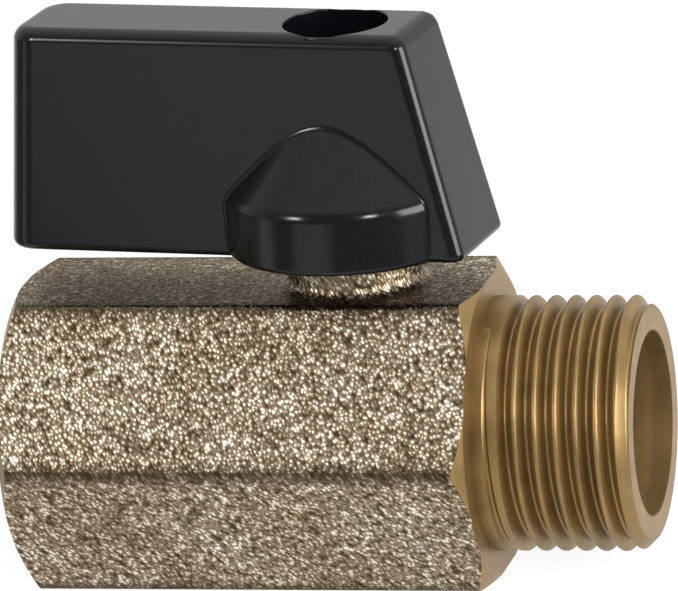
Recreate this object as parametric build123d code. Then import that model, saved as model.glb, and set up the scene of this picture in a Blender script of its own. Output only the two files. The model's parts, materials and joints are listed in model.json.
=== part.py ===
from build123d import *
import os
from math import cos, radians, sqrt, tan

# Mini ball valve with a moulded lever, in millimetres. X runs along the flow, from the mouth of the female
# thread at X = 0 to the male end. Z points up the stem, and the flow axis is Y = Z = 0. The stem, the ball
# and the lever are modelled in the open position and then turned together to the lever's rest angle.

# Pipe thread, 3/8 inch parallel: over the crests and at the roots
THREAD_MAJOR_D = 16.662
THREAD_MINOR_D = 14.95

# Forged hexagon body
HEX_ACROSS_FLATS = 19.5
HEX_LENGTH = 31.2
HEX_RIDGE_RADIUS = 0.6
MOUTH_CIRCLE_D = 19.6
SHOULDER_CIRCLE_D = 19.95
HEX_CHAMFER_ANGLE = 30.0
SOCKET_DEPTH = 10.0
SOCKET_COUNTERSINK_ANGLE = 120.0
MALE_LENGTH = 10.3
MALE_END_CHAMFER = 0.5
OUTLET_BORE_D = 12.06
OUTLET_BORE_DEPTH = 8.0
DRILL_POINT_ANGLE = 118.0

# Stem neck on the top flat, with the lug that stops the lever
STEM_X = 22.35
NECK_D = 8.8
NECK_FLARE = 0.85
NECK_HEIGHT = 4.85
STOP_LUG_REACH = 1.1
STOP_LUG_HEIGHT = 1.5
STOP_LUG_ANGLE = 90.0

# Ball, seats and the ring that holds them in
BALL_D = 13.6
BALL_BORE_D = 8.0
BALL_CLEARANCE = 0.4
PASSAGE_D = 8.4
SEAT_WIDTH = 3.0
SEAT_LIP = 1.0
SEAT_TOUCH_ANGLE = 45.0
SEAT_CLEARANCE = 0.05
RING_D = 14.5
RING_LENGTH = 5.2
RING_SKIRT_LENGTH = 2.6
RING_SKIRT_WALL = 0.85
RING_CLEARANCE = 0.05
RING_SLOT_WIDTH = 2.2
RING_SLOT_DEPTH = 1.6

# Stem, its washer and its seals
STEM_D = 5.1
STEM_CLEARANCE = 0.05
STEM_FLANGE_D = 6.8
STEM_FLANGE_THICKNESS = 1.05
STEM_POCKET_CLEARANCE = 0.2
STEM_BALL_GAP = 0.3
TANG_THICKNESS = 2.4
TANG_WIDTH = 6.0
TANG_CLEARANCE = 0.05
SLOT_DEPTH = 1.8
WASHER_THICKNESS = 0.5
WASHER_CLEARANCE = 0.05
SEAL_SECTION = 0.9
SEAL_SIDES = 6
SEAL_CLEARANCE = 0.02
SEAL_GROOVE_WIDTH = 1.1
SEAL_SPACING = 1.6
SEAL_EDGE = 0.75
SHOULDER_ABOVE_NECK = 0.5
DRIVE_D = 4.6
DRIVE_ACROSS_FLATS = 3.4
DRIVE_LENGTH = 2.9
DRIVE_CLEARANCE = 0.05

# Lever
LEVER_GAP = 2.62
LEVER_HEIGHT = 14.87
LEVER_TOP_THICKNESS = 7.5
LEVER_BOTTOM_THICKNESS = 8.6
LEVER_TIP_BOTTOM = 22.85
LEVER_TIP_TOP = 21.65
LEVER_HEEL_OVER_BOSS = 1.0
LEVER_HEEL_TOP = 5.75
LEVER_TIP_RADIUS = 2.0
LEVER_EDGE_RADIUS = 0.9
LEVER_FOOT_CHAMFER = 0.5
BOSS_D = 16.3
BOSS_HEIGHT = 3.95
BOSS_ROOF_ANGLE = 49.5
BOSS_EDGE_RADIUS = 0.5
BOSS_ROOT_RADIUS = 0.35
BOSS_INSET = 0.75
SCREW_WELL_D = 6.84
WEB_ABOVE_STEM = 0.2
RECESS_CLEARANCE = 0.2
STOP_CLEARANCE_ANGLE = 0.7
STOP_KEY_RAISE = 0.5
CORE_WALL = 2.0
CORE_TIP_WALL = 2.0
CORE_BOSS_WALL = 0.9
CORE_RIB = 1.5
CORE_POCKETS = 3
CORE_TOP_WALL = 2.2

# Screw that holds the lever
SCREW_D = 3.0
SCREW_LENGTH = 5.0
SCREW_HEAD_D = 5.6
SCREW_HEAD_HEIGHT = 1.9
SCREW_HEAD_EDGE = 0.6
SCREW_CLEARANCE = 0.03
SCREW_HOLE_SPARE = 0.4
CROSS_WIDTH = 0.7
CROSS_LENGTH = 2.8
CROSS_DEPTH = 1.1

# Motion
FULL_TURN = 90.0
REST_TURN = -6.9

# Levels and radii that follow from the sizes above
HEX_APOTHEM = HEX_ACROSS_FLATS / 2
MALE_END_X = HEX_LENGTH + MALE_LENGTH
BALL_R = BALL_D / 2
SEAT_BALL_R = BALL_R + SEAT_CLEARANCE
SEAT_CONE_REACH = SEAT_BALL_R / cos(radians(SEAT_TOUCH_ANGLE))
SEAT_CONE_BACK = SEAT_CONE_REACH - PASSAGE_D / 2 * tan(radians(SEAT_TOUCH_ANGLE))
SEAT_BACK = SEAT_CONE_BACK + SEAT_LIP
SEAT_FRONT = SEAT_BACK - SEAT_WIDTH
RING_R = RING_D / 2
RING_BORE_R = RING_R + RING_CLEARANCE
SEAT_POCKET_R = RING_R - RING_SKIRT_WALL
SEAT_R = SEAT_POCKET_R - SEAT_CLEARANCE
RING_SKIRT_END = SEAT_BACK - RING_SKIRT_LENGTH
CAVITY_R = BALL_R + BALL_CLEARANCE
FLANGE_BOTTOM = BALL_R + STEM_BALL_GAP
FLANGE_TOP = FLANGE_BOTTOM + STEM_FLANGE_THICKNESS
WASHER_TOP = FLANGE_TOP + WASHER_THICKNESS
POCKET_TOP = WASHER_TOP + WASHER_CLEARANCE
STEM_BORE_R = STEM_D / 2 + STEM_CLEARANCE
SEAL_R = STEM_BORE_R - SEAL_CLEARANCE - SEAL_SECTION / 2
SEAL_LEVELS = [POCKET_TOP + SEAL_EDGE + SEAL_GROOVE_WIDTH / 2 + i * SEAL_SPACING for i in range(2)]
NECK_TOP = HEX_APOTHEM + NECK_HEIGHT
STEM_SHOULDER = NECK_TOP + SHOULDER_ABOVE_NECK
STEM_TOP = STEM_SHOULDER + DRIVE_LENGTH
WEB_TOP = STEM_TOP + WEB_ABOVE_STEM
LEVER_BOTTOM = HEX_APOTHEM + LEVER_GAP
LEVER_TOP = LEVER_BOTTOM + LEVER_HEIGHT
LEVER_HEEL_BOTTOM = BOSS_D / 2 + LEVER_HEEL_OVER_BOSS
RECESS_R = NECK_D / 2 + STOP_LUG_REACH + RECESS_CLEARANCE
FAR = 4 * HEX_ACROSS_FLATS
ON_SURFACE = 0.001
STEM_AXIS = Axis((STEM_X, 0, 0), (0, 0, 1))


def turned_on_flow(points):
    """Solid of revolution about the flow axis from (x, radius) points."""
    return revolve(Plane.XZ * make_face(Polyline(*points, close=True)), Axis.X)


def turned_on_stem(points):
    """Solid of revolution about the stem axis from (radius, z) points."""
    outline = [(STEM_X + radius, z) for radius, z in points]
    return revolve(Plane.XZ * make_face(Polyline(*outline, close=True)), STEM_AXIS)


def on_stem(shape, z):
    """Places a shape that is centred on the origin at a level on the stem axis."""
    return Pos(STEM_X, 0, z) * shape


def stem_cylinder(radius, low, high):
    return on_stem(Cylinder(radius, high - low), (low + high) / 2)


def sector(inner, outer, low, high, start, span):
    """Part of a ring about the stem axis, from a start angle over a span in degrees."""
    profile = Polyline((inner, low), (outer, low), (outer, high), (inner, high), close=True)
    swept = revolve(Plane.XZ * make_face(profile), Axis.Z, revolution_arc=span)
    return Pos(STEM_X, 0, 0) * Rot(0, 0, start) * swept


def hexagon_bar():
    """Hexagon with flats at top and bottom, rounded ridges and turned chamfers on its corners."""
    bar = extrude(Plane.YZ * RegularPolygon(HEX_APOTHEM, 6, major_radius=False), HEX_LENGTH)
    bar = fillet(bar.edges().filter_by(Axis.X), HEX_RIDGE_RADIUS)
    slope = tan(radians(HEX_CHAMFER_ANGLE))
    outside = HEX_ACROSS_FLATS
    mouth = MOUTH_CIRCLE_D / 2
    shoulder = SHOULDER_CIRCLE_D / 2
    envelope = turned_on_flow([
        (0, 0),
        (0, mouth),
        ((outside - mouth) * slope, outside),
        (HEX_LENGTH - (outside - shoulder) * slope, outside),
        (HEX_LENGTH, shoulder),
        (HEX_LENGTH, 0),
    ])
    return bar & envelope


def male_end():
    crest = THREAD_MAJOR_D / 2
    return turned_on_flow([
        (HEX_LENGTH / 2, 0),
        (HEX_LENGTH / 2, crest),
        (MALE_END_X - MALE_END_CHAMFER, crest),
        (MALE_END_X, crest - MALE_END_CHAMFER),
        (MALE_END_X, 0),
    ])


def neck():
    """Round neck that flares into the top flat."""
    radius = NECK_D / 2
    foot = radius + NECK_FLARE
    sunk = HEX_APOTHEM - HEX_RIDGE_RADIUS
    return turned_on_stem([
        (0, sunk),
        (foot, sunk),
        (foot, HEX_APOTHEM),
        (radius, HEX_APOTHEM + NECK_FLARE),
        (radius, NECK_TOP),
        (0, NECK_TOP),
    ])


def waterway():
    """All that is bored along the flow axis: socket, ball chamber, seat pocket, throat and outlet."""
    bore = THREAD_MINOR_D / 2
    mouth = THREAD_MAJOR_D / 2
    countersink = (mouth - bore) / tan(radians(SOCKET_COUNTERSINK_ANGLE / 2))
    throat = PASSAGE_D / 2
    outlet = OUTLET_BORE_D / 2
    outlet_start = MALE_END_X - OUTLET_BORE_DEPTH
    cone = (outlet - throat) / tan(radians(DRILL_POINT_ANGLE / 2))
    return turned_on_flow([
        (-countersink, 0),
        (-countersink, 2 * mouth - bore),
        (countersink, bore),
        (SOCKET_DEPTH, bore),
        (SOCKET_DEPTH, RING_BORE_R),
        (STEM_X - RING_SKIRT_END, RING_BORE_R),
        (STEM_X - RING_SKIRT_END, CAVITY_R),
        (STEM_X + SEAT_FRONT, CAVITY_R),
        (STEM_X + SEAT_FRONT, SEAT_POCKET_R),
        (STEM_X + SEAT_BACK, SEAT_POCKET_R),
        (STEM_X + SEAT_BACK, throat),
        (outlet_start - cone, throat),
        (outlet_start, outlet),
        (MALE_END_X + countersink, outlet),
        (MALE_END_X + countersink, 0),
    ])


def make_valve_body():
    lug = sector(NECK_D / 4, NECK_D / 2 + STOP_LUG_REACH, NECK_TOP - STOP_LUG_HEIGHT, NECK_TOP,
                 -STOP_LUG_ANGLE / 2, STOP_LUG_ANGLE)
    shape = hexagon_bar() + male_end() + neck() + lug
    shape -= waterway()
    shape -= stem_cylinder(STEM_FLANGE_D / 2 + STEM_POCKET_CLEARANCE, 0, POCKET_TOP)
    return shape - stem_cylinder(STEM_BORE_R, 0, NECK_TOP + NECK_HEIGHT)


def make_seat(turn):
    """Seat ring with a cone that bears on the ball, made at the outlet and turned to its side."""
    inner = PASSAGE_D / 2
    mouth = (SEAT_CONE_REACH - SEAT_FRONT) / tan(radians(SEAT_TOUCH_ANGLE))
    ring = turned_on_flow([
        (SEAT_CONE_BACK, inner),
        (SEAT_FRONT, mouth),
        (SEAT_FRONT, SEAT_R),
        (SEAT_BACK, SEAT_R),
        (SEAT_BACK, inner),
    ])
    return on_stem(Rot(0, 0, turn) * ring, 0)


def make_retaining_ring():
    """Screwed ring behind the inlet seat, with a skirt round the seat and two slots for its key."""
    back = STEM_X - SEAT_BACK
    front = back - RING_LENGTH
    skirt_end = STEM_X - RING_SKIRT_END
    ring = turned_on_flow([
        (front, PASSAGE_D / 2),
        (front, RING_R),
        (skirt_end, RING_R),
        (skirt_end, SEAT_POCKET_R),
        (back, SEAT_POCKET_R),
        (back, PASSAGE_D / 2),
    ])
    slot = Box(2 * RING_SLOT_DEPTH, RING_SLOT_WIDTH, FAR)
    return ring - Pos(front, 0, 0) * slot


def make_ball():
    """Ball with its bore along the flow and a slot across its top for the stem's tang."""
    bored = Sphere(BALL_R) - Cylinder(BALL_BORE_D / 2, FAR)
    slot = Box(TANG_THICKNESS + 2 * TANG_CLEARANCE, FAR, 2 * SLOT_DEPTH)
    return on_stem(Rot(0, 90, 0) * bored, 0) - on_stem(slot, BALL_R)


def double_flat(clearance, low, high):
    """Round with two flats, which the lever's web fits over."""
    round_part = stem_cylinder(DRIVE_D / 2 + clearance, low, high)
    slab = Box(FAR, DRIVE_ACROSS_FLATS + 2 * clearance, high - low)
    return round_part & on_stem(slab, (low + high) / 2)


def make_stem():
    """Stem put in from inside: tang, flange, two seal grooves, drive flats and a tapped hole."""
    radius = STEM_D / 2
    groove = SEAL_R - SEAL_SECTION / 2
    half_groove = SEAL_GROOVE_WIDTH / 2
    outline = [(0, FLANGE_BOTTOM), (STEM_FLANGE_D / 2, FLANGE_BOTTOM), (STEM_FLANGE_D / 2, FLANGE_TOP)]
    outline.append((radius, FLANGE_TOP))
    for level in SEAL_LEVELS:
        outline += [(radius, level - half_groove), (groove, level - half_groove)]
        outline += [(groove, level + half_groove), (radius, level + half_groove)]
    outline += [(radius, STEM_SHOULDER), (0, STEM_SHOULDER)]
    tang_bottom = BALL_R - SLOT_DEPTH + TANG_CLEARANCE
    tang_height = FLANGE_TOP - tang_bottom
    tang = on_stem(Box(TANG_THICKNESS, TANG_WIDTH, tang_height), tang_bottom + tang_height / 2)
    tang &= stem_cylinder(STEM_FLANGE_D / 2, tang_bottom, FLANGE_TOP)
    shape = turned_on_stem(outline) + tang + double_flat(0, STEM_SHOULDER - DRIVE_CLEARANCE, STEM_TOP)
    hole_bottom = WEB_TOP - SCREW_LENGTH - SCREW_HOLE_SPARE
    return shape - stem_cylinder(SCREW_D / 2 + SCREW_CLEARANCE, hole_bottom, WEB_TOP)


def make_stem_washer():
    inner = STEM_D / 2 + STEM_CLEARANCE
    return turned_on_stem([
        (inner, FLANGE_TOP),
        (STEM_FLANGE_D / 2, FLANGE_TOP),
        (STEM_FLANGE_D / 2, WASHER_TOP),
        (inner, WASHER_TOP),
    ])


def make_stem_seal(level):
    """Seal ring, its round section drawn with a few sides."""
    section = RegularPolygon(SEAL_SECTION / 2, SEAL_SIDES, rotation=180 / SEAL_SIDES)
    return revolve(Plane.XZ * Pos(STEM_X + SEAL_R, level) * section, STEM_AXIS)


def lever_blade():
    """Tapered blade, wider and longer at its foot: the side outline crossed with the end outline."""
    side = Polyline(
        (-LEVER_TIP_BOTTOM, LEVER_BOTTOM),
        (LEVER_HEEL_BOTTOM, LEVER_BOTTOM),
        (LEVER_HEEL_TOP, LEVER_TOP),
        (-LEVER_TIP_TOP, LEVER_TOP),
        close=True,
    )
    foot = LEVER_BOTTOM_THICKNESS / 2
    crown = LEVER_TOP_THICKNESS / 2
    end = Polyline(
        (-foot, LEVER_BOTTOM),
        (foot, LEVER_BOTTOM),
        (crown, LEVER_TOP),
        (-crown, LEVER_TOP),
        close=True,
    )
    along = extrude(Plane.XZ * make_face(side), FAR, both=True)
    across = extrude(Plane.YZ * make_face(end), FAR, both=True)
    return on_stem(along & across, 0)


def lever_boss():
    """The two halves of a round boss with a conical roof, one on each side of the blade."""
    radius = BOSS_D / 2
    eaves = LEVER_BOTTOM + BOSS_HEIGHT
    inner = SCREW_WELL_D / 4
    ridge = eaves + (radius - inner) * tan(radians(BOSS_ROOF_ANGLE))
    boss = turned_on_stem([
        (0, LEVER_BOTTOM),
        (radius, LEVER_BOTTOM),
        (radius, eaves),
        (inner, ridge),
        (0, ridge),
    ])
    eaves_edge = boss.edges().filter_by(GeomType.CIRCLE).sort_by(Axis.Z)[1]
    inside_blade = Box(FAR, LEVER_TOP_THICKNESS - 2 * BOSS_INSET, FAR)
    return fillet(eaves_edge, BOSS_EDGE_RADIUS) - on_stem(inside_blade, LEVER_BOTTOM)


def corner_edges(blade):
    """Edges over the blade's whole height, from the tip to the heel."""
    upright = [edge for edge in blade.edges() if edge.bounding_box().size.Z > LEVER_HEIGHT - ON_SURFACE]
    return ShapeList(upright).sort_by(Axis.X)


def lever_outside():
    """Blade and boss in one, with a small radius where they meet, rounded edges and a broken foot."""
    blade = lever_blade()
    boss = lever_boss()
    joined = blade + boss
    meets = [edge for edge in joined.edges() if (edge @ 0.5).Z > LEVER_BOTTOM + BOSS_ROOT_RADIUS
             and blade.distance_to(edge @ 0.5) < ON_SURFACE and boss.distance_to(edge @ 0.5) < ON_SURFACE]
    joined = fillet(meets, BOSS_ROOT_RADIUS)
    joined = fillet(corner_edges(joined)[:2], LEVER_TIP_RADIUS)
    joined = fillet(joined.edges().group_by(Axis.Z)[-1] + corner_edges(joined)[-2:], LEVER_EDGE_RADIUS)
    return chamfer(joined.edges().group_by(Axis.Z)[0], LEVER_FOOT_CHAMFER)


def lever_cores():
    """Pockets that lighten the blade from below, with ribs between them."""
    start = -LEVER_TIP_TOP + CORE_TIP_WALL
    end = -BOSS_D / 2 - CORE_BOSS_WALL
    length = (end - start - (CORE_POCKETS - 1) * CORE_RIB) / CORE_POCKETS
    top = LEVER_TOP - CORE_TOP_WALL
    pocket = Box(length, LEVER_TOP_THICKNESS - 2 * CORE_WALL, 2 * (top - LEVER_BOTTOM))
    places = [start + length / 2 + i * (length + CORE_RIB) for i in range(CORE_POCKETS)]
    return [on_stem(Pos(x, 0, 0) * pocket, LEVER_BOTTOM) for x in places]


def make_lever():
    """Moulded lever: blade, boss, screw well, web on the stem's flats and the stop key in the recess."""
    shape = lever_outside()
    shape -= stem_cylinder(SCREW_WELL_D / 2, WEB_TOP, LEVER_TOP + LEVER_HEIGHT)
    shape -= stem_cylinder(RECESS_R, LEVER_BOTTOM - LEVER_HEIGHT, STEM_SHOULDER)
    shape -= double_flat(DRIVE_CLEARANCE, STEM_SHOULDER - LEVER_HEIGHT, LEVER_TOP)
    for pocket in lever_cores():
        shape -= pocket
    key_start = STOP_LUG_ANGLE / 2 + FULL_TURN + STOP_CLEARANCE_ANGLE
    key_span = 360 - STOP_LUG_ANGLE - FULL_TURN - 2 * STOP_CLEARANCE_ANGLE
    key = sector(NECK_D / 2 + RECESS_CLEARANCE, (RECESS_R + BOSS_D / 2) / 2, LEVER_BOTTOM + STOP_KEY_RAISE,
                 STEM_SHOULDER, key_start, key_span)
    return shape + key


def make_lever_screw():
    """Pan-head screw with a cross recess, seated on the lever's web."""
    head = SCREW_HEAD_D / 2
    head_top = WEB_TOP + SCREW_HEAD_HEIGHT
    blank = turned_on_stem([
        (0, WEB_TOP - SCREW_LENGTH),
        (SCREW_D / 2, WEB_TOP - SCREW_LENGTH),
        (SCREW_D / 2, WEB_TOP),
        (head, WEB_TOP),
        (head, head_top - SCREW_HEAD_EDGE),
        (head - SCREW_HEAD_EDGE, head_top),
        (0, head_top),
    ])
    bar = Box(CROSS_LENGTH, CROSS_WIDTH, 2 * CROSS_DEPTH)
    cross = bar + Rot(0, 0, 90) * bar
    return blank - on_stem(cross, head_top)


fixed = {
    "valve_body": make_valve_body(),
    "retaining_ring": make_retaining_ring(),
    "inlet_seat": make_seat(180),
    "outlet_seat": make_seat(0),
}
turning = {
    "ball": make_ball(),
    "stem": make_stem(),
    "stem_washer": make_stem_washer(),
    "lower_stem_seal": make_stem_seal(SEAL_LEVELS[0]),
    "upper_stem_seal": make_stem_seal(SEAL_LEVELS[1]),
    "lever": make_lever(),
    "lever_screw": make_lever_screw(),
}

os.makedirs("parts", exist_ok=True)
for name, shape in fixed.items():
    export_step(shape, f"parts/{name}.step")
for name, shape in turning.items():
    export_step(shape.rotate(STEM_AXIS, REST_TURN), f"parts/{name}.step")
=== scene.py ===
import json
from math import cos, pi, radians, sin, tan

import bpy
from mathutils import Matrix, Vector


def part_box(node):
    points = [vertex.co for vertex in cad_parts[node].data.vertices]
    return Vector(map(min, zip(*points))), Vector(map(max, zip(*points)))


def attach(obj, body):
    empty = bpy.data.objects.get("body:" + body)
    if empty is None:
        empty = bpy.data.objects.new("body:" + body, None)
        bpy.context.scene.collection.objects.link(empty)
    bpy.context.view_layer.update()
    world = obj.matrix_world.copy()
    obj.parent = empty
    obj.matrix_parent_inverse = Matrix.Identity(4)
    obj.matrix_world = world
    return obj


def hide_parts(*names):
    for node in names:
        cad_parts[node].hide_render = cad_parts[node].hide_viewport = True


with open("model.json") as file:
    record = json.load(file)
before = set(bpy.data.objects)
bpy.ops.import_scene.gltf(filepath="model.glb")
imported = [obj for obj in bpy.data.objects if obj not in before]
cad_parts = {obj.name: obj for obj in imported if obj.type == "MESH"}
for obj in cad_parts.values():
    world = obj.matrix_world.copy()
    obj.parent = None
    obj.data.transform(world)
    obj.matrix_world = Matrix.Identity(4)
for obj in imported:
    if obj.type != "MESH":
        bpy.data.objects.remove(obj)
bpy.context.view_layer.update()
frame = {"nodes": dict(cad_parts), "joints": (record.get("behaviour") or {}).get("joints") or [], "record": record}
bpy.context.scene.view_settings.view_transform = "Standard"

# Sizes are in millimetres and places in metres: MM turns one into the other.
MM = 0.001

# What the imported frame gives: boxes, the stem's axis, the lever's rest angle and the two thread radii
body_low, body_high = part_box("valve_body")
lever_low, lever_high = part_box("lever")
stem_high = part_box("stem")[1]
mounts = {mount["name"]: mount for mount in frame["record"]["mounts"]}
lever_turn = frame["joints"][0]
HEX_APOTHEM = -body_low.z / MM
MALE_END_X = body_high.x / MM
NECK_TOP = body_high.z / MM
LEVER_BOTTOM = lever_low.z / MM
LEVER_TOP = lever_high.z / MM
STEM_TOP = stem_high.z / MM
STEM_X = lever_turn["pos_m"][0] / MM
REST_TURN = lever_turn["range_deg"][0]
THREAD_CREST_R = mounts["male_thread"]["dims"]["r_mm"]
THREAD_ROOT_R = mounts["female_thread"]["dims"]["r_mm"]

# Forged body, as in the solids; the chamfer on its male end is wider here
HEX_LENGTH = 31.2
HEX_RIDGE_RADIUS = 0.6
MOUTH_CIRCLE_D = 19.6
SHOULDER_CIRCLE_D = 19.95
HEX_CHAMFER_ANGLE = 30
SOCKET_DEPTH = 10.0
SOCKET_COUNTERSINK_ANGLE = 120
MALE_END_CHAMFER = 0.7
OUTLET_BORE_D = 12.06
OUTLET_BORE_DEPTH = 8.0
DRILL_POINT_ANGLE = 118
NECK_D = 8.8
NECK_FLARE = 0.85
STOP_LUG_REACH = 1.1
STOP_LUG_HEIGHT = 1.5
STOP_LUG_ANGLE = 90
RING_BORE_R = 7.3
BALL_CHAMBER = (-3.887, 3.487, 7.2)
SEAT_POCKET = (6.487, 6.4)
PASSAGE_R = 4.2
STEM_POCKET = (3.6, 8.7)
STEM_BORE_R = 2.6

# Lever, as in the solids; its foot is rounded here and its eaves are softer
LEVER_TOP_THICKNESS = 7.5
LEVER_BOTTOM_THICKNESS = 8.6
LEVER_TIP_BOTTOM = 22.85
LEVER_TIP_TOP = 21.65
LEVER_HEEL_BOTTOM = 9.15
LEVER_HEEL_TOP = 5.75
LEVER_TIP_RADIUS = 2.0
LEVER_EDGE_RADIUS = 0.9
LEVER_FOOT_RADIUS = 0.6
BOSS_R = 8.15
BOSS_HEIGHT = 3.95
BOSS_ROOF_ANGLE = 49.5
BOSS_FOOT_RADIUS = 0.45
BOSS_EDGE_RADIUS = 1.4
BOSS_ROOT_REACH = 0.25
SCREW_WELL_R = 3.42
SCREW_WELL_EDGE = 0.1
SCREW_WELL_WALL = 0.15
WEB_TOP = STEM_TOP + 0.2
WEB_BOTTOM = STEM_TOP - 2.9
DRIVE_HOLE_R = 2.35
DRIVE_HOLE_FLATS = 3.5
RECESS_R = 5.7
STOP_KEY = (4.6, 6.925, 0.5)
STOP_CLEARANCE_ANGLE = 0.7
CORE_WIDTH = 3.5
CORE_ENDS = (-19.65, -9.05)
CORE_RIB = 1.5
CORE_POCKETS = 3
CORE_TOP_WALL = 2.2

# Pipe thread form with rounded roots and crests
THREAD_PITCH = 1.337
THREAD_HALF_ANGLE = 27.5
THREAD_ROUNDING = 0.1373 * THREAD_PITCH
THREAD_CREST_SLIVER = 6
MALE_GROOVE_START = 0.64
FEMALE_GROOVE_START = -0.9
THREAD_TURNS = 8
THREAD_FADE = 0.72

# Small step between faces that would otherwise lie in one plane, and how much longer the hexagon's stock is
SUNK = 0.02
OVERLONG = 1.2

# How near a point counts as on a face, how near points merge, and the angle past which an edge stays sharp
NEAR = 0.01
MERGE_REACH = 0.0001
SHARP_ANGLE = 30

# Steps in a full turn
TURNED_STEPS = 128
BOSS_STEPS = 40
HELIX_STEPS = 96


def linear(code):
    """sRGB hex colour as linear red, green, blue and alpha."""
    parts = [int(code[i:i + 2], 16) / 255 for i in (1, 3, 5)]
    return [c / 12.92 if c <= 0.04045 else ((c + 0.055) / 1.055) ** 2.4 for c in parts] + [1.0]


def add_node(tree, kind, inputs=None, **settings):
    """Adds a node, sets its properties, and sets or links its inputs."""
    node = tree.nodes.new(kind)
    for name, value in settings.items():
        setattr(node, name, value)
    for socket, value in (inputs or {}).items():
        if isinstance(value, bpy.types.NodeSocket):
            tree.links.new(value, node.inputs[socket])
        else:
            node.inputs[socket].default_value = value
    return node


def set_ramp(node, *stops):
    """Gives a colour ramp its stops, each a place and a hex colour."""
    elements = node.color_ramp.elements
    while len(elements) < len(stops):
        elements.new(1.0)
    for element, (place, code) in zip(elements, stops):
        element.position = place
        element.color = linear(code)


def new_material(name):
    """Empty node material and its shader, already linked to the output."""
    material = bpy.data.materials.new(name)
    material.use_nodes = True
    tree = material.node_tree
    return material, tree, tree.nodes["Principled BSDF"]


def blasted_nickel():
    """Nickel plate on a blasted forging: brown-grey grain, with painted highlights as small slanting glints,
    painted shade in its pits and painted shade on the ridges.
    """
    grit = Vector((0.44, 0.21, 0.2))
    slant = 58
    patch = 6.0
    grain_share = 0.65
    chain_share = 0.7
    chain_grits = 2
    pit_depth = 0.06
    ridge_from = 10.75
    ridge_full = 11.12
    ridge_dark = 0.7
    material, tree, shader = new_material("blasted_nickel")
    place = add_node(tree, "ShaderNodeTexCoord").outputs["Object"]
    slanted = add_node(tree, "ShaderNodeMapping", {
        "Vector": place, "Rotation": (0, radians(slant), 0), "Scale": grit * MM}, vector_type="TEXTURE")
    grains = add_node(tree, "ShaderNodeTexVoronoi", {"Vector": slanted.outputs["Vector"], "Scale": 1.0})
    chains = add_node(tree, "ShaderNodeTexNoise", {
        "Vector": slanted.outputs["Vector"], "Scale": 1 / chain_grits, "Detail": 1.0})
    spread = add_node(tree, "ShaderNodeMath", {
        0: grains.outputs["Distance"], 1: grain_share}, operation="MULTIPLY")
    glint_and_pit_paint = add_node(tree, "ShaderNodeMath", {
        0: chains.outputs["Fac"], 1: chain_share, 2: spread.outputs["Value"]}, operation="MULTIPLY_ADD")
    patches = add_node(tree, "ShaderNodeTexNoise", {
        "Vector": place, "Scale": 1 / (patch * MM), "Detail": 3.0})
    # Painted light: small values, on the tops of the bumps, get near-white painted glints, and large ones, in the
    # pits, get painted shade; the middle stops are the nickel's own brown-grey.
    colours = add_node(tree, "ShaderNodeValToRGB", {"Fac": glint_and_pit_paint.outputs["Value"]})
    set_ramp(colours, (0.46, "#fff6e6"), (0.56, "#b0a18b"), (0.72, "#8b7d69"), (0.95, "#4f4231"))
    tint = add_node(tree, "ShaderNodeValToRGB", {"Fac": patches.outputs["Fac"]})
    set_ramp(tint, (0.35, "#ddd6cc"), (0.65, "#ffffff"))
    mixed = add_node(tree, "ShaderNodeMix", {
        "Factor": 1.0, 6: colours.outputs["Color"], 7: tint.outputs["Color"]},
        data_type="RGBA", blend_type="MULTIPLY")
    split = add_node(tree, "ShaderNodeSeparateXYZ", {"Vector": place})
    across = add_node(tree, "ShaderNodeCombineXYZ", {"Y": split.outputs["Y"], "Z": split.outputs["Z"]})
    radius = add_node(tree, "ShaderNodeVectorMath", {0: across.outputs["Vector"]}, operation="LENGTH")
    ridge = add_node(tree, "ShaderNodeMapRange", {
        "Value": radius.outputs["Value"], "From Min": ridge_from * MM, "From Max": ridge_full * MM,
        "To Max": ridge_dark})
    below_neck = add_node(tree, "ShaderNodeMath", {
        0: split.outputs["Z"], 1: (HEX_APOTHEM + NEAR) * MM}, operation="LESS_THAN")
    painted_ridge_shade = add_node(tree, "ShaderNodeMath", {
        0: ridge.outputs["Result"], 1: below_neck.outputs["Value"]}, operation="MULTIPLY")
    # Painted shade: the rounded ridges below the neck are darkened towards a dark brown, standing in for the dark
    # things they mirror.
    darkened = add_node(tree, "ShaderNodeMix", {
        "Factor": painted_ridge_shade.outputs["Value"], 6: mixed.outputs[2], 7: linear("#3d3124")}, data_type="RGBA")
    tree.links.new(darkened.outputs[2], shader.inputs["Base Color"])
    bump = add_node(tree, "ShaderNodeBump", {
        "Strength": 0.8, "Distance": pit_depth * MM, "Height": grains.outputs["Distance"]}, invert=True)
    tree.links.new(bump.outputs["Normal"], shader.inputs["Normal"])
    shader.inputs["Metallic"].default_value = 1.0
    shader.inputs["Specular Tint"].default_value = linear("#d9d6d3")
    shader.inputs["Roughness"].default_value = 0.36
    return material


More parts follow.
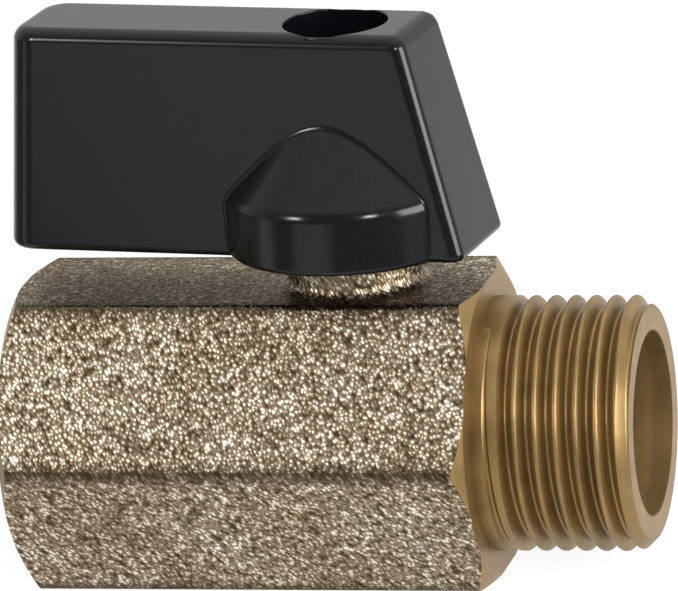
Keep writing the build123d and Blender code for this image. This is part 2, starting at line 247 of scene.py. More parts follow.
def turned_brass():
    """Bare brass off the lathe: fine uneven rings from the tool round the flow axis, and a soft shine."""
    ring = 0.09
    band = 1.4
    stain = 2.5
    ring_depth = 0.02
    bore_r = OUTLET_BORE_D / 2
    clear_of_bore = 0.1
    in_bore = 0.02
    drill_marks = 0.3
    material, tree, shader = new_material("turned_brass")
    place = add_node(tree, "ShaderNodeTexCoord").outputs["Object"]
    split = add_node(tree, "ShaderNodeSeparateXYZ", {"Vector": place})
    across = add_node(tree, "ShaderNodeCombineXYZ", {"Y": split.outputs["Y"], "Z": split.outputs["Z"]})
    radius = add_node(tree, "ShaderNodeVectorMath", {0: across.outputs["Vector"]}, operation="LENGTH")
    along = add_node(tree, "ShaderNodeMath", {
        0: split.outputs["X"], 1: radius.outputs["Value"]}, operation="ADD")
    rings = add_node(tree, "ShaderNodeTexNoise", {
        "W": along.outputs["Value"], "Scale": 1 / (ring * MM), "Detail": 1.5}, noise_dimensions="1D")
    bands = add_node(tree, "ShaderNodeTexNoise", {
        "W": along.outputs["Value"], "Scale": 1 / (band * MM), "Detail": 2.0}, noise_dimensions="1D")
    stains = add_node(tree, "ShaderNodeTexNoise", {
        "Vector": place, "Scale": 1 / (stain * MM), "Detail": 4.0})
    tone = add_node(tree, "ShaderNodeMath", {
        0: bands.outputs["Fac"], 1: stains.outputs["Fac"]}, operation="ADD")
    half_tone = add_node(tree, "ShaderNodeMath", {0: tone.outputs["Value"], 1: 0.5}, operation="MULTIPLY")
    colours = add_node(tree, "ShaderNodeValToRGB", {"Fac": half_tone.outputs["Value"]})
    set_ramp(colours, (0.35, "#826a42"), (0.65, "#a28556"))
    tree.links.new(colours.outputs["Color"], shader.inputs["Base Color"])
    turned = add_node(tree, "ShaderNodeMapRange", {
        "Value": rings.outputs["Fac"], "To Min": 0.34, "To Max": 0.48})
    drilled = add_node(tree, "ShaderNodeMapRange", {
        "Value": radius.outputs["Value"], "From Min": (bore_r + clear_of_bore) * MM,
        "From Max": (bore_r + in_bore) * MM, "To Max": drill_marks})
    rough = add_node(tree, "ShaderNodeMath", {
        0: turned.outputs["Result"], 1: drilled.outputs["Result"]}, operation="ADD")
    tree.links.new(rough.outputs["Value"], shader.inputs["Roughness"])
    bump = add_node(tree, "ShaderNodeBump", {
        "Strength": 0.3, "Distance": ring_depth * MM, "Height": rings.outputs["Fac"]})
    tree.links.new(bump.outputs["Normal"], shader.inputs["Normal"])
    shader.inputs["Metallic"].default_value = 0.8
    return material


def moulded_nylon():
    """Glossy black glass-filled nylon from a polished mould: a faint ripple and a slight haze."""
    ripple = 1.6
    ripple_depth = 0.05
    haze = 0.25
    material, tree, shader = new_material("moulded_nylon")
    place = add_node(tree, "ShaderNodeTexCoord").outputs["Object"]
    ripples = add_node(tree, "ShaderNodeTexNoise", {
        "Vector": place, "Scale": 1 / (ripple * MM), "Detail": 2.0})
    hazes = add_node(tree, "ShaderNodeTexNoise", {
        "Vector": place, "Scale": 1 / (haze * MM), "Detail": 3.0})
    colours = add_node(tree, "ShaderNodeValToRGB", {"Fac": hazes.outputs["Fac"]})
    set_ramp(colours, (0.3, "#090b0e"), (0.7, "#0f1215"))
    tree.links.new(colours.outputs["Color"], shader.inputs["Base Color"])
    rough = add_node(tree, "ShaderNodeMapRange", {
        "Value": hazes.outputs["Fac"], "To Min": 0.13, "To Max": 0.22})
    tree.links.new(rough.outputs["Result"], shader.inputs["Roughness"])
    bump = add_node(tree, "ShaderNodeBump", {
        "Strength": 0.06, "Distance": ripple_depth * MM, "Height": ripples.outputs["Fac"]})
    tree.links.new(bump.outputs["Normal"], shader.inputs["Normal"])
    shader.inputs["IOR"].default_value = 1.37
    return material


def chromed_brass():
    """Hard chrome on the polished ball: near mirror, with polishing scratches drawn coarse enough to show."""
    scratch = 0.15
    stretch = 6.0
    material, tree, shader = new_material("chromed_brass")
    place = add_node(tree, "ShaderNodeTexCoord").outputs["Object"]
    stretched = add_node(tree, "ShaderNodeMapping", {"Vector": place, "Scale": (1.0, stretch, 1.0)})
    scratches = add_node(tree, "ShaderNodeTexNoise", {
        "Vector": stretched.outputs["Vector"], "Scale": 1 / (scratch * MM), "Detail": 2.0})
    rough = add_node(tree, "ShaderNodeMapRange", {
        "Value": scratches.outputs["Fac"], "To Min": 0.05, "To Max": 0.16})
    tree.links.new(rough.outputs["Result"], shader.inputs["Roughness"])
    shader.inputs["Base Color"].default_value = linear("#d6d8da")
    shader.inputs["Metallic"].default_value = 1.0
    return material


def waxy_fluoroplastic():
    """PTFE, turned from rod: milky white and waxy, with faint clouds."""
    cloud = 0.2
    cloud_depth = 0.02
    material, tree, shader = new_material("waxy_fluoroplastic")
    place = add_node(tree, "ShaderNodeTexCoord").outputs["Object"]
    clouds = add_node(tree, "ShaderNodeTexNoise", {
        "Vector": place, "Scale": 1 / (cloud * MM), "Detail": 2.0})
    colours = add_node(tree, "ShaderNodeValToRGB", {"Fac": clouds.outputs["Fac"]})
    set_ramp(colours, (0.3, "#e4e3de"), (0.7, "#f1f0ec"))
    tree.links.new(colours.outputs["Color"], shader.inputs["Base Color"])
    bump = add_node(tree, "ShaderNodeBump", {
        "Strength": 0.1, "Distance": cloud_depth * MM, "Height": clouds.outputs["Fac"]})
    tree.links.new(bump.outputs["Normal"], shader.inputs["Normal"])
    shader.inputs["Roughness"].default_value = 0.45
    shader.inputs["IOR"].default_value = 1.38
    return material


def nitrile_rubber():
    """Moulded nitrile rubber: black, matt and slightly dusty."""
    dust = 0.12
    material, tree, shader = new_material("nitrile_rubber")
    place = add_node(tree, "ShaderNodeTexCoord").outputs["Object"]
    dusts = add_node(tree, "ShaderNodeTexNoise", {
        "Vector": place, "Scale": 1 / (dust * MM), "Detail": 3.0})
    colours = add_node(tree, "ShaderNodeValToRGB", {"Fac": dusts.outputs["Fac"]})
    set_ramp(colours, (0.4, "#121212"), (0.75, "#262626"))
    tree.links.new(colours.outputs["Color"], shader.inputs["Base Color"])
    shader.inputs["Roughness"].default_value = 0.65
    return material


def zinc_plated_steel():
    """Zinc-plated steel screw: bright bluish grey, its fine grain drawn coarse enough to show."""
    grain = 0.12
    grain_depth = 0.02
    material, tree, shader = new_material("zinc_plated_steel")
    place = add_node(tree, "ShaderNodeTexCoord").outputs["Object"]
    grains = add_node(tree, "ShaderNodeTexNoise", {
        "Vector": place, "Scale": 1 / (grain * MM), "Detail": 3.0})
    colours = add_node(tree, "ShaderNodeValToRGB", {"Fac": grains.outputs["Fac"]})
    set_ramp(colours, (0.3, "#9aa0a6"), (0.7, "#c6cacd"))
    tree.links.new(colours.outputs["Color"], shader.inputs["Base Color"])
    bump = add_node(tree, "ShaderNodeBump", {
        "Strength": 0.2, "Distance": grain_depth * MM, "Height": grains.outputs["Fac"]})
    tree.links.new(bump.outputs["Normal"], shader.inputs["Normal"])
    shader.inputs["Metallic"].default_value = 1.0
    shader.inputs["Roughness"].default_value = 0.3
    return material


NICKEL = blasted_nickel()
BRASS = turned_brass()
NYLON = moulded_nylon()
CHROME = chromed_brass()
PTFE = waxy_fluoroplastic()
RUBBER = nitrile_rubber()
ZINC = zinc_plated_steel()


def take(piece):
    """Makes one object the only selected and active one."""
    bpy.ops.object.select_all(action="DESELECT")
    piece.select_set(True)
    bpy.context.view_layer.objects.active = piece


def pick(piece, wanted):
    """Enters edit mode with only those edges selected whose two ends, in millimetres, pass a test."""
    take(piece)
    bpy.ops.object.mode_set(mode="EDIT")
    bpy.ops.mesh.select_mode(type="EDGE")
    bpy.ops.mesh.select_all(action="DESELECT")
    bpy.ops.object.mode_set(mode="OBJECT")
    corners = piece.data.vertices
    for edge in piece.data.edges:
        here, there = [corners[i].co / MM for i in edge.vertices]
        edge.select = wanted(here, there)
    bpy.ops.object.mode_set(mode="EDIT")


def round_edges(piece, reach, steps, wanted):
    """Rounds the edges that pass a test; reach is how far the rounding goes into both faces."""
    pick(piece, wanted)
    bpy.ops.mesh.bevel(offset=reach * MM, segments=steps, affect="EDGES")
    bpy.ops.object.mode_set(mode="OBJECT")


def rounded(before, corner, after, radius, steps=6):
    """Points of the arc that rounds one corner of an outline."""
    corner = Vector(corner)
    back = (Vector(before) - corner).normalized()
    ahead = (Vector(after) - corner).normalized()
    half = back.angle(ahead) / 2
    centre = corner + (back + ahead).normalized() * radius / sin(half)
    start = corner + back * radius / tan(half) - centre
    turn = pi - 2 * half
    if back.x * ahead.y > back.y * ahead.x:
        turn = -turn
    return [centre + Matrix.Rotation(turn * i / steps, 2) @ start for i in range(steps + 1)]


def start_outline(name, points):
    """A line of edges through points, drawn from one vertex by extruding it on; it stays in edit mode."""
    bpy.ops.object.select_all(action="DESELECT")
    bpy.ops.mesh.primitive_plane_add(size=MM)
    piece = bpy.context.object
    piece.name = name
    bpy.ops.object.mode_set(mode="EDIT")
    bpy.ops.mesh.select_mode(type="VERT")
    bpy.ops.mesh.select_all(action="SELECT")
    bpy.ops.mesh.merge(type="CENTER")
    bpy.ops.transform.translate(value=tuple(points[0]))
    for here, there in zip(points, points[1:]):
        bpy.ops.mesh.extrude_vertices_move(TRANSFORM_OT_translate={"value": tuple(there - here)})
    bpy.ops.mesh.select_all(action="SELECT")
    bpy.ops.mesh.remove_doubles(threshold=MERGE_REACH * MM)
    return piece


def close_up(piece):
    """Merges doubles, fills open ends, turns the faces outwards and leaves edit mode."""
    bpy.ops.mesh.select_all(action="SELECT")
    bpy.ops.mesh.remove_doubles(threshold=MERGE_REACH * MM)
    bpy.ops.mesh.select_all(action="DESELECT")
    bpy.ops.mesh.select_non_manifold(use_wire=False, use_multi_face=False, use_non_contiguous=False,
                                     use_verts=False)
    bpy.ops.mesh.fill_holes(sides=0)
    bpy.ops.mesh.select_all(action="SELECT")
    bpy.ops.mesh.normals_make_consistent(inside=False)
    bpy.ops.object.mode_set(mode="OBJECT")
    volume = sum(face.center.dot(face.normal) * face.area for face in piece.data.polygons)
    if volume < 0:
        bpy.ops.object.mode_set(mode="EDIT")
        bpy.ops.mesh.flip_normals()
        bpy.ops.object.mode_set(mode="OBJECT")
    return piece


def turned_on_flow(name, points):
    """Solid turned about the flow axis from (x, radius) points in millimetres."""
    piece = start_outline(name, [Vector((x, 0, radius)) * MM for x, radius in points])
    bpy.ops.mesh.spin(steps=TURNED_STEPS, angle=2 * pi, center=(0, 0, 0), axis=(1, 0, 0))
    return close_up(piece)


def turned_on_stem(name, points, start=0, span=360, steps=TURNED_STEPS):
    """Solid turned about the stem axis from (radius, z) points, from an angle over a span in degrees."""
    way = Vector((cos(radians(start)), sin(radians(start)), 0))
    centre = Vector((STEM_X, 0, 0))
    piece = start_outline(name, [(centre + way * radius + Vector((0, 0, z))) * MM for radius, z in points])
    bpy.ops.mesh.spin(steps=round(steps * span / 360), angle=radians(span), center=centre * MM,
                      axis=(0, 0, -1))
    return close_up(piece)


def stem_drill(name, radius, low, high):
    """Round bar on the stem axis, used to drill."""
    return turned_on_stem(name, [(0, low), (radius, low), (radius, high), (0, high)])


def block(name, size, middle):
    """Rectangular block of a size at a place, in millimetres."""
    bpy.ops.object.select_all(action="DESELECT")
    bpy.ops.mesh.primitive_cube_add(size=MM, scale=size, location=Vector(middle) * MM)
    bpy.ops.object.transform_apply(location=True, rotation=True, scale=True)
    bpy.context.object.name = name
    return bpy.context.object


def combine(piece, tool, operation):
    """Adds, cuts or keeps the overlap with another solid, which is used up."""
    take(piece)
    modifier = piece.modifiers.new("combine", "BOOLEAN")
    modifier.operation = operation
    modifier.solver = "EXACT"
    modifier.object = tool
    bpy.ops.object.modifier_apply(modifier=modifier.name)
    bpy.data.objects.remove(tool)


def hexagon_bar():
    """Hexagon with flats at top and bottom and rounded ridges, turned at both ends."""
    half_flat = pi / 6
    ridge_steps = 6
    bpy.ops.object.select_all(action="DESELECT")
    bpy.ops.mesh.primitive_cylinder_add(
        vertices=6, radius=HEX_APOTHEM / cos(half_flat) * MM, depth=OVERLONG * HEX_LENGTH * MM,
        location=(HEX_LENGTH / 2 * MM, 0, 0), rotation=(0, pi / 2, 0))
    bar = bpy.context.object
    bar.name = "forged_body"
    bpy.ops.object.transform_apply(location=True, rotation=True, scale=True)
    round_edges(bar, HEX_RIDGE_RADIUS * tan(half_flat), ridge_steps,
                lambda here, there: abs(here.x - there.x) > HEX_LENGTH / 2)
    slope = tan(radians(HEX_CHAMFER_ANGLE))
    outside = 2 * HEX_APOTHEM
    mouth = MOUTH_CIRCLE_D / 2
    shoulder = SHOULDER_CIRCLE_D / 2
    envelope = turned_on_flow("envelope", [
        (0, 0),
        (0, mouth),
        ((outside - mouth) * slope, outside),
        (HEX_LENGTH - (outside - shoulder) * slope, outside),
        (HEX_LENGTH, shoulder),
        (HEX_LENGTH, 0),
    ])
    combine(bar, envelope, "INTERSECT")
    return bar


def male_end():
    """Bar at the thread's crests with a chamfered end, let halfway into the hexagon."""
    return turned_on_flow("male_end", [
        (HEX_LENGTH / 2, 0),
        (HEX_LENGTH / 2, THREAD_CREST_R),
        (MALE_END_X - MALE_END_CHAMFER, THREAD_CREST_R),
        (MALE_END_X, THREAD_CREST_R - MALE_END_CHAMFER),
        (MALE_END_X, 0),
    ])


def neck():
    """Round neck that flares into the top flat along an arc."""
    radius = NECK_D / 2
    far = 2 * NECK_D
    sunk = HEX_APOTHEM - HEX_RIDGE_RADIUS
    flat = HEX_APOTHEM - SUNK
    flare_steps = 10
    flare = rounded((far, flat), (radius, flat), (radius, far), NECK_FLARE, flare_steps)
    foot = radius + NECK_FLARE
    return turned_on_stem("neck", [(0, sunk), (foot, sunk), *flare, (radius, NECK_TOP), (0, NECK_TOP)])


def stop_lug():
    """Part of a ring round the neck's top that stops the lever at both ends of its turn."""
    inner = NECK_D / 4
    outer = NECK_D / 2 + STOP_LUG_REACH
    low = NECK_TOP - STOP_LUG_HEIGHT
    top = NECK_TOP - SUNK
    ring = [(inner, low), (outer, low), (outer, top), (inner, top), (inner, low)]
    return turned_on_stem("stop_lug", ring, -STOP_LUG_ANGLE / 2, STOP_LUG_ANGLE)


def waterway():
    """All that is bored along the flow axis: socket, ring bore, ball chamber, seat pocket and outlet."""
    countersink = (THREAD_CREST_R - THREAD_ROOT_R) / tan(radians(SOCKET_COUNTERSINK_ANGLE / 2))
    chamber_start, chamber_end, chamber_r = BALL_CHAMBER
    pocket_end, pocket_r = SEAT_POCKET
    outlet = OUTLET_BORE_D / 2
    outlet_start = MALE_END_X - OUTLET_BORE_DEPTH
    cone = (outlet - PASSAGE_R) / tan(radians(DRILL_POINT_ANGLE / 2))
    return turned_on_flow("waterway", [
        (-countersink, 0),
        (-countersink, 2 * THREAD_CREST_R - THREAD_ROOT_R),
        (countersink, THREAD_ROOT_R),
        (SOCKET_DEPTH, THREAD_ROOT_R),
        (SOCKET_DEPTH, RING_BORE_R),
        (STEM_X + chamber_start, RING_BORE_R),
        (STEM_X + chamber_start, chamber_r),
        (STEM_X + chamber_end, chamber_r),
        (STEM_X + chamber_end, pocket_r),
        (STEM_X + pocket_end, pocket_r),
        (STEM_X + pocket_end, PASSAGE_R),
        (outlet_start - cone, PASSAGE_R),
        (outlet_start, outlet),
        (MALE_END_X + countersink, outlet),
        (MALE_END_X + countersink, 0),
    ])


def helical_cutter(name, start, root, mouth, fade_from, fade_way):
    """Thread groove as a solid coil: root and mouth are radii, and past fade_from it leaves the metal."""
    side = 1 if mouth > root else -1
    flank = 90 - THREAD_HALF_ANGLE
    parts = 4
    bends = [radians(flank * i / parts) for i in range(parts + 1)]
    crest_bends = [radians(flank + (THREAD_CREST_SLIVER - flank) * i / parts) for i in range(parts + 1)]
    ball = THREAD_ROUNDING
    half = [(ball * sin(a), root + side * ball * (1 - cos(a))) for a in bends]
    half += [(THREAD_PITCH / 2 - ball * sin(a), mouth - side * ball * (1 - cos(a))) for a in crest_bends]
    half.append((half[-1][0], mouth + side * ball))
    outline = half + [(-x, radius) for x, radius in reversed(half)]
    cutter = start_outline(name, [Vector((start + x, 0, radius)) * MM for x, radius in outline])
    bpy.ops.object.mode_set(mode="OBJECT")
    take(cutter)
    helix = cutter.modifiers.new("helix", "SCREW")
    helix.axis = "X"
    helix.screw_offset = THREAD_PITCH * MM
    helix.iterations = THREAD_TURNS
    helix.steps = HELIX_STEPS
    helix.render_steps = HELIX_STEPS
    bpy.ops.object.modifier_apply(modifier=helix.name)
    for vertex in cutter.data.vertices:
        past = max(0, (vertex.co.x / MM - fade_from) * fade_way)
        radius = Vector((0, vertex.co.y, vertex.co.z))
        vertex.co += radius.normalized() * past * THREAD_FADE * side * MM
    bpy.ops.object.mode_set(mode="EDIT")
    return close_up(cutter)


def forged_body():
    """The plated forging with its machined ends, bores and both pipe threads."""
    body = hexagon_bar()
    for part in (male_end(), neck(), stop_lug()):
        combine(body, part, "UNION")
    pocket_r, pocket_top = STEM_POCKET
    male_start = HEX_LENGTH + MALE_GROOVE_START
    cuts = [
        waterway(),
        stem_drill("stem_pocket", pocket_r, 0, pocket_top),
        stem_drill("stem_bore", STEM_BORE_R, 0, 2 * NECK_TOP),
        helical_cutter("male_groove", male_start, THREAD_ROOT_R, THREAD_CREST_R,
                       male_start + THREAD_PITCH, -1),
        helical_cutter("female_groove", FEMALE_GROOVE_START, THREAD_CREST_R, THREAD_ROOT_R,
                       SOCKET_DEPTH - THREAD_PITCH, 1),
    ]
    for cut in cuts:
        combine(body, cut, "DIFFERENCE")
    return body


def paint_body(body):
    """Nickel on the forged outside; bare brass wherever the lathe cut: ends, chamfers, bores and threads."""
    facing = 0.5
    chamfer_reach = 2
    bore_margin = 0.6
    drill_margin = 0.05
    body.data.materials.clear()
    body.data.materials.append(NICKEL)
    body.data.materials.append(BRASS)
    for face in body.data.polygons:
        x, y, z = face.center / MM
        from_flow = (y * y + z * z) ** 0.5
        from_stem = ((x - STEM_X) ** 2 + y * y) ** 0.5
        level = abs(face.normal.z) > facing
        near_end = abs(x - HEX_LENGTH / 2) > HEX_LENGTH / 2 - chamfer_reach
        on_end = abs(face.normal.x) > facing and near_end and z < HEX_APOTHEM
        past_shoulder = x > HEX_LENGTH - NEAR
        bored = from_flow < THREAD_CREST_R + bore_margin
        in_neck = from_stem < STEM_BORE_R + drill_margin and not level
        neck_end = from_stem < NECK_D / 2 + STOP_LUG_REACH and z > NECK_TOP - NEAR
        face.material_index = 1 if on_end or past_shoulder or bored or in_neck or neck_end else 0


def lever_blade():
    """Tapered blade: a block whose top is drawn in, with a well rounded tip and all its edges rounded."""
    height = LEVER_TOP - LEVER_BOTTOM
    foot_length = LEVER_TIP_BOTTOM + LEVER_HEEL_BOTTOM
    foot_middle = STEM_X + (LEVER_HEEL_BOTTOM - LEVER_TIP_BOTTOM) / 2
    top_length = LEVER_TIP_TOP + LEVER_HEEL_TOP
    top_middle = STEM_X + (LEVER_HEEL_TOP - LEVER_TIP_TOP) / 2
    blade = block("moulded_lever", (foot_length, LEVER_BOTTOM_THICKNESS, height),
                  (foot_middle, 0, LEVER_BOTTOM + height / 2))
    tip_steps = 10
    edge_steps = 6
    foot_steps = 5

    def on_top(here, there):
        return min(here.z, there.z) > LEVER_TOP - NEAR

    def on_foot(here, there):
        return max(here.z, there.z) < LEVER_BOTTOM + NEAR

    def upright_at_tip(here, there):
        return abs(here.z - there.z) > height - NEAR and here.x < STEM_X

    def upright_at_heel(here, there):
        return abs(here.z - there.z) > height - NEAR and here.x > STEM_X

    pick(blade, on_top)
    bpy.ops.transform.resize(
        value=(top_length / foot_length, LEVER_TOP_THICKNESS / LEVER_BOTTOM_THICKNESS, 1),
        center_override=(foot_middle * MM, 0, LEVER_TOP * MM))
    bpy.ops.transform.translate(value=((top_middle - foot_middle) * MM, 0, 0))
    bpy.ops.object.mode_set(mode="OBJECT")
    round_edges(blade, LEVER_TIP_RADIUS, tip_steps, upright_at_tip)
    round_edges(blade, LEVER_EDGE_RADIUS, edge_steps,
                lambda here, there: on_top(here, there) or upright_at_heel(here, there))
    round_edges(blade, LEVER_FOOT_RADIUS, foot_steps, on_foot)
    return blade


def lever_boss():
    """Round boss under a conical roof, with its eaves and foot rounded."""
    eaves = LEVER_BOTTOM + BOSS_HEIGHT
    inner = SCREW_WELL_R / 2
    ridge = eaves + (BOSS_R - inner) * tan(radians(BOSS_ROOF_ANGLE))
    low = LEVER_BOTTOM + SUNK
    arc_steps = 3
    foot = rounded((0, low), (BOSS_R, low), (BOSS_R, eaves), BOSS_FOOT_RADIUS, arc_steps)
    edge = rounded((BOSS_R, low), (BOSS_R, eaves), (inner, ridge), BOSS_EDGE_RADIUS, arc_steps)
    return turned_on_stem("boss", [(0, low), *foot, *edge, (inner, ridge), (0, ridge)], steps=BOSS_STEPS)


def round_boss_root(lever):
    """Small radius where the boss runs into the blade's two sides."""
    eaves = LEVER_BOTTOM + BOSS_HEIGHT
    taper = (LEVER_BOTTOM_THICKNESS - LEVER_TOP_THICKNESS) / 2 / (LEVER_TOP - LEVER_BOTTOM)
    near = 0.02
    root_steps = 4

    def at_root(point):
        side = LEVER_BOTTOM_THICKNESS / 2 - taper * (point.z - LEVER_BOTTOM)
        roof = BOSS_R - max(0, point.z - eaves) / tan(radians(BOSS_ROOF_ANGLE))
        from_stem = ((point.x - STEM_X) ** 2 + point.y ** 2) ** 0.5
        above_foot = point.z > LEVER_BOTTOM + LEVER_FOOT_RADIUS - 3 * near
        return above_foot and abs(abs(point.y) - side) < near and from_stem < roof + near

    round_edges(lever, BOSS_ROOT_REACH, root_steps, lambda here, there: at_root(here) and at_root(there))


def well_rim():
    """Thin wall that keeps the screw well round where the blade's top edges are rounded away."""
    outer = SCREW_WELL_R + SCREW_WELL_WALL
    low = LEVER_TOP - LEVER_EDGE_RADIUS
    top = LEVER_TOP - SCREW_WELL_WALL
    edge_steps = 4
    edge = rounded((outer, low), (outer, top), (0, top), SCREW_WELL_WALL / 2, edge_steps)
    return turned_on_stem("well_rim", [(0, low), (outer, low), *edge, (0, top)])


def screw_well():
    """Drill for the well over the screw, with a rounded mouth."""
    above = LEVER_TOP + LEVER_EDGE_RADIUS
    mouth = rounded((SCREW_WELL_R, WEB_TOP), (SCREW_WELL_R, LEVER_TOP), (BOSS_R, LEVER_TOP), SCREW_WELL_EDGE)
    wide = SCREW_WELL_R + SCREW_WELL_EDGE
    return turned_on_stem("screw_well", [
        (0, WEB_TOP), (SCREW_WELL_R, WEB_TOP), *mouth, (wide, above), (0, above)])


def drive_hole():
    """Round hole with two flats, which fits over the stem's end."""
    hole = stem_drill("drive_hole", DRIVE_HOLE_R, LEVER_BOTTOM, LEVER_TOP)
    flats = block("flats", (BOSS_R, DRIVE_HOLE_FLATS, 2 * LEVER_TOP), (STEM_X, 0, LEVER_TOP))
    combine(hole, flats, "INTERSECT")
    return hole


def core_pockets():
    """Pockets that lighten the blade from below, with ribs between them."""
    start, end = CORE_ENDS
    length = (end - start - (CORE_POCKETS - 1) * CORE_RIB) / CORE_POCKETS
    height = 2 * (LEVER_TOP - CORE_TOP_WALL - LEVER_BOTTOM)
    places = [STEM_X + start + length / 2 + i * (length + CORE_RIB) for i in range(CORE_POCKETS)]
    return [block("core", (length, CORE_WIDTH, height), (x, 0, LEVER_BOTTOM)) for x in places]


def stop_key():
    """Part of a ring in the lever's recess that meets the body's lug at both ends of the turn."""
    inner, outer, raised = STOP_KEY
    low = LEVER_BOTTOM + raised
    top = WEB_BOTTOM + raised
    ring = [(inner, low), (outer, low), (outer, top), (inner, top), (inner, low)]
    full_turn = lever_turn["range_deg"][1] - lever_turn["range_deg"][0]
    start = STOP_LUG_ANGLE / 2 + full_turn + STOP_CLEARANCE_ANGLE
    return turned_on_stem("stop_key", ring, start, 360 - start - STOP_LUG_ANGLE / 2 - STOP_CLEARANCE_ANGLE)


def moulded_lever():
    """The lever in one moulding, made in the open position and turned to its rest angle."""
    lever = lever_blade()
    combine(lever, lever_boss(), "UNION")
    round_boss_root(lever)
    combine(lever, well_rim(), "UNION")
    recess = stem_drill("recess", RECESS_R, LEVER_BOTTOM - BOSS_HEIGHT, WEB_BOTTOM)
    for cut in [screw_well(), recess, drive_hole(), *core_pockets()]:
        combine(lever, cut, "DIFFERENCE")
    combine(lever, stop_key(), "UNION")
    stem = Matrix.Translation((STEM_X * MM, 0, 0))
    take(lever)
    lever.matrix_world = stem @ Matrix.Rotation(radians(REST_TURN), 4, "Z") @ stem.inverted()
    bpy.ops.object.transform_apply(location=True, rotation=True, scale=True)
    lever.data.materials.clear()
    lever.data.materials.append(NYLON)
    return lever


def shade(piece):
    """Smooth shading that keeps sharp edges, with large flat faces kept flat."""
    take(piece)
    bpy.ops.object.shade_smooth_by_angle(angle=radians(SHARP_ANGLE))
    weighted = piece.modifiers.new("weighted", "WEIGHTED_NORMAL")
    weighted.keep_sharp = True
    bpy.ops.object.modifier_apply(modifier=weighted.name)


def smooth_copy(node, name, material):
    """Merged copy of a solid with its finish, to stand for it."""
    weld = 0.0005
    source = frame["nodes"][node]
    piece = bpy.data.objects.new(name, source.data.copy())
    bpy.context.scene.collection.objects.link(piece)
    take(piece)
    bpy.ops.object.mode_set(mode="EDIT")
    bpy.ops.mesh.select_all(action="SELECT")
    bpy.ops.mesh.remove_doubles(threshold=weld * MM)
    bpy.ops.object.mode_set(mode="OBJECT")
    piece.data.materials.clear()
    piece.data.materials.append(material)
    return piece


def put_in_place(piece, node, body):
    """Shades a piece, hangs it on the body that carries it and hides the solid it stands for."""
    shade(piece)
    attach(piece, body)
    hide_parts(node)


body_piece = forged_body()
paint_body(body_piece)
put_in_place(body_piece, "valve_body", "housing")
put_in_place(moulded_lever(), "lever", "turning_set")

smooth_pieces = [
    ("lever_screw", "pan_head_screw", ZINC, "turning_set", "screw_steel"),
    ("ball", "chromed_ball", CHROME, "turning_set", "plated_ball"),
    ("stem", "turned_stem", BRASS, "turning_set", "bare_brass"),
    ("stem_washer", "thrust_washer", PTFE, "turning_set", "seat_plastic"),
    ("lower_stem_seal", "lower_o_ring", RUBBER, "turning_set", "seal_rubber"),
    ("upper_stem_seal", "upper_o_ring", RUBBER, "turning_set", "seal_rubber"),
    ("retaining_ring", "screwed_ring", BRASS, "housing", "bare_brass"),
    ("inlet_seat", "inlet_seat_ring", PTFE, "housing", "seat_plastic"),
    ("outlet_seat", "outlet_seat_ring", PTFE, "housing", "seat_plastic"),
]
for node, name, material, body, slot in smooth_pieces:
    put_in_place(smooth_copy(node, name, material), node, body)


# Camera, at the photograph's viewing angle, and how far the soft lights stand from its target
CAMERA_YAW = 15.038
CAMERA_PITCH = 16.687
CAMERA_ROLL = -4.590
CAMERA_DISTANCE = 555.9
CAMERA_TARGET = Vector((21.15, 0, 8.72))
FOCAL_PIXELS = 8528
PICTURE_WIDTH = 678
SENSOR_WIDTH = 36
LIGHT_DISTANCE = 420


def aim(yaw, pitch, roll=0):
    """Rotation that looks back at the target from a yaw about Z and a pitch above the floor."""
    turn = Matrix.Rotation(radians(yaw), 4, "Z")
    tilt = Matrix.Rotation(radians(90 - pitch), 4, "X")
    return turn @ tilt @ Matrix.Rotation(radians(roll), 4, "Z")


def place_camera():
    """Camera with the photograph's framing."""
    data = bpy.data.cameras.new("camera")
    data.sensor_fit = "HORIZONTAL"
    data.sensor_width = SENSOR_WIDTH
    data.lens = FOCAL_PIXELS / PICTURE_WIDTH * SENSOR_WIDTH
    data.clip_end = 10
    camera = bpy.data.objects.new("camera", data)
    bpy.context.scene.collection.objects.link(camera)
    turn = aim(CAMERA_YAW, CAMERA_PITCH, CAMERA_ROLL)
    back = turn @ Vector((0, 0, CAMERA_DISTANCE * MM))
    camera.matrix_world = Matrix.Translation(CAMERA_TARGET * MM + back) @ turn
    bpy.context.scene.camera = camera


def soft_box(name, yaw, pitch, width, height, power):
    """Rectangular soft light that faces the part."""
    data = bpy.data.lights.new(name, "AREA")
    data.shape = "RECTANGLE"
    data.size = width * MM
    data.size_y = height * MM
    data.energy = power
    light = bpy.data.objects.new(name, data)
    bpy.context.scene.collection.objects.link(light)
    turn = aim(yaw, pitch)
    back = turn @ Vector((0, 0, LIGHT_DISTANCE * MM))
    light.matrix_world = Matrix.Translation(CAMERA_TARGET * MM + back) @ turn


def by_ray(tree, dim, mirrored, seen):
    """One strength for the light itself, one for what mirrors show and one for camera and glass rays."""
    path = add_node(tree, "ShaderNodeLightPath")
    direct = add_node(tree, "ShaderNodeMath", {
        0: path.outputs["Is Camera Ray"], 1: path.outputs["Is Transmission Ray"]}, operation="MAXIMUM")
    lit = add_node(tree, "ShaderNodeMix", {0: path.outputs["Is Glossy Ray"], 2: dim, 3: mirrored})
    chosen = add_node(tree, "ShaderNodeMix", {0: direct.outputs["Value"], 2: lit.outputs[0], 3: seen})
    return chosen.outputs[0]


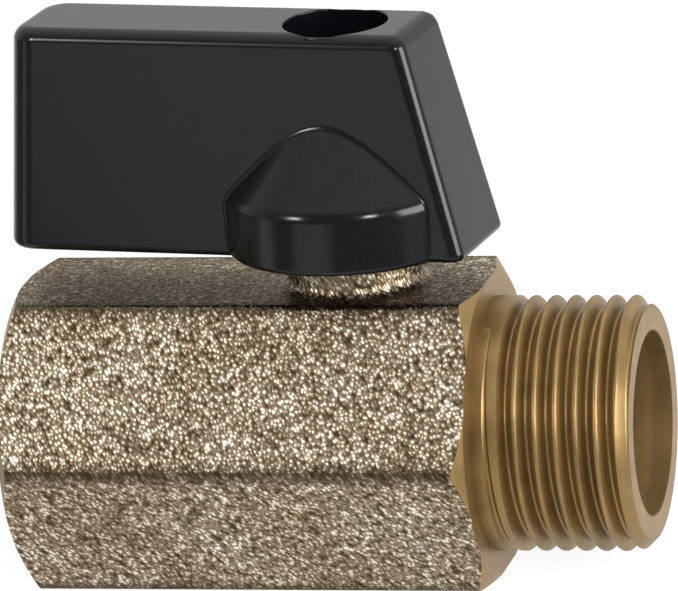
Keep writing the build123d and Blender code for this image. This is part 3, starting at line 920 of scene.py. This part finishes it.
def light_the_world():
    """White studio behind and above the part; in mirrors it falls to a dim room behind the camera."""
    front = -0.7
    behind = 0.2
    dim_wall = 0.3
    bright_wall = 0.87
    overhead_from = 0.65
    overhead_full = 0.85
    ceiling_glow = 0.55
    soft_fill = 0.35
    white = 1.0
    world = bpy.data.worlds.new("studio")
    bpy.context.scene.world = world
    world.use_nodes = True
    tree = world.node_tree
    way = add_node(tree, "ShaderNodeSeparateXYZ", {
        "Vector": add_node(tree, "ShaderNodeTexCoord").outputs["Generated"]})
    walls = add_node(tree, "ShaderNodeMapRange", {
        "Value": way.outputs["Y"], "From Min": front, "From Max": behind,
        "To Min": dim_wall, "To Max": bright_wall})
    ceiling = add_node(tree, "ShaderNodeMapRange", {
        "Value": way.outputs["Z"], "From Min": overhead_from, "From Max": overhead_full,
        "To Max": ceiling_glow})
    room = add_node(tree, "ShaderNodeMath", {
        0: walls.outputs["Result"], 1: ceiling.outputs["Result"]}, operation="ADD")
    strength = by_ray(tree, soft_fill, room.outputs["Value"], white)
    back = add_node(tree, "ShaderNodeBackground", {"Color": (1, 1, 1, 1), "Strength": strength})
    tree.links.new(back.outputs[0], tree.nodes["World Output"].inputs["Surface"])


def lay_the_floor():
    """White floor under the bottom flat that takes the shadow; in mirrors it shows painted pools of light and
    dark.
    """
    size = 4000
    near = 35
    far = 55
    no_glow = 0.0
    seen_glow = 0.9
    bpy.ops.object.select_all(action="DESELECT")
    bpy.ops.mesh.primitive_plane_add(size=size * MM, location=(0, 0, body_low.z))
    floor = bpy.context.object
    floor.name = "floor"
    material = bpy.data.materials.new("studio_floor")
    material.use_nodes = True
    tree = material.node_tree
    tree.nodes.remove(tree.nodes["Principled BSDF"])
    spot = add_node(tree, "ShaderNodeVectorMath", {
        0: add_node(tree, "ShaderNodeNewGeometry").outputs["Position"],
        1: (STEM_X * MM, 0, body_low.z)}, operation="SUBTRACT")
    distance = add_node(tree, "ShaderNodeVectorMath", {0: spot.outputs["Vector"]}, operation="LENGTH")
    split = add_node(tree, "ShaderNodeSeparateXYZ", {"Vector": spot.outputs["Vector"]})
    forward = add_node(tree, "ShaderNodeMath", {0: split.outputs["Y"], 1: -1}, operation="MULTIPLY")
    angle = add_node(tree, "ShaderNodeMath", {
        0: split.outputs["X"], 1: forward.outputs["Value"]}, operation="ARCTAN2")
    around = add_node(tree, "ShaderNodeMapRange", {
        "Value": angle.outputs["Value"], "From Min": -pi, "From Max": pi})
    # Painted reflections: glowing bright and dark pools at fixed angles round the stem, seen only in mirrors,
    # stand in for the surroundings the metal reflects.
    pools = add_node(tree, "ShaderNodeValToRGB", {"Fac": around.outputs["Result"]})
    bright = "#eeeeee"
    middle = "#bcbcbc"
    dark = "#606060"
    set_ramp(pools, (0.18, bright), (0.21, dark), (0.288, dark), (0.294, bright), (0.33, bright),
             (0.336, dark), (0.385, dark), (0.4, bright), (0.47, bright), (0.5, dark), (0.655, dark),
             (0.675, middle), (0.715, middle), (0.73, dark), (0.8, dark), (0.83, bright))
    away = add_node(tree, "ShaderNodeMapRange", {
        "Value": distance.outputs["Value"], "From Min": near * MM, "From Max": far * MM})
    mirrored = add_node(tree, "ShaderNodeMix", {
        "Factor": away.outputs["Result"], 6: linear(bright), 7: pools.outputs["Color"]}, data_type="RGBA")
    matt = add_node(tree, "ShaderNodeBsdfDiffuse", {"Color": linear("#8c8c8c")})
    glow = add_node(tree, "ShaderNodeEmission", {
        "Color": (1, 1, 1, 1), "Strength": by_ray(tree, no_glow, mirrored.outputs[2], seen_glow)})
    lit = add_node(tree, "ShaderNodeAddShader", {0: matt.outputs[0], 1: glow.outputs[0]})
    tree.links.new(lit.outputs[0], tree.nodes["Material Output"].inputs["Surface"])
    floor.data.materials.append(material)


place_camera()
light_the_world()
lay_the_floor()

# Soft lights: yaw from the camera's, pitch, width, height and power
soft_lights = [
    ("left_box", -55, 23, 70, 80, 0.45),
    ("right_box", 18, 25, 60, 70, 0.5),
    ("bore_light", 62, 14, 240, 200, 1.6),
]
for name, yaw, pitch, width, height, power in soft_lights:
    soft_box(name, CAMERA_YAW + yaw, pitch, width, height, power)
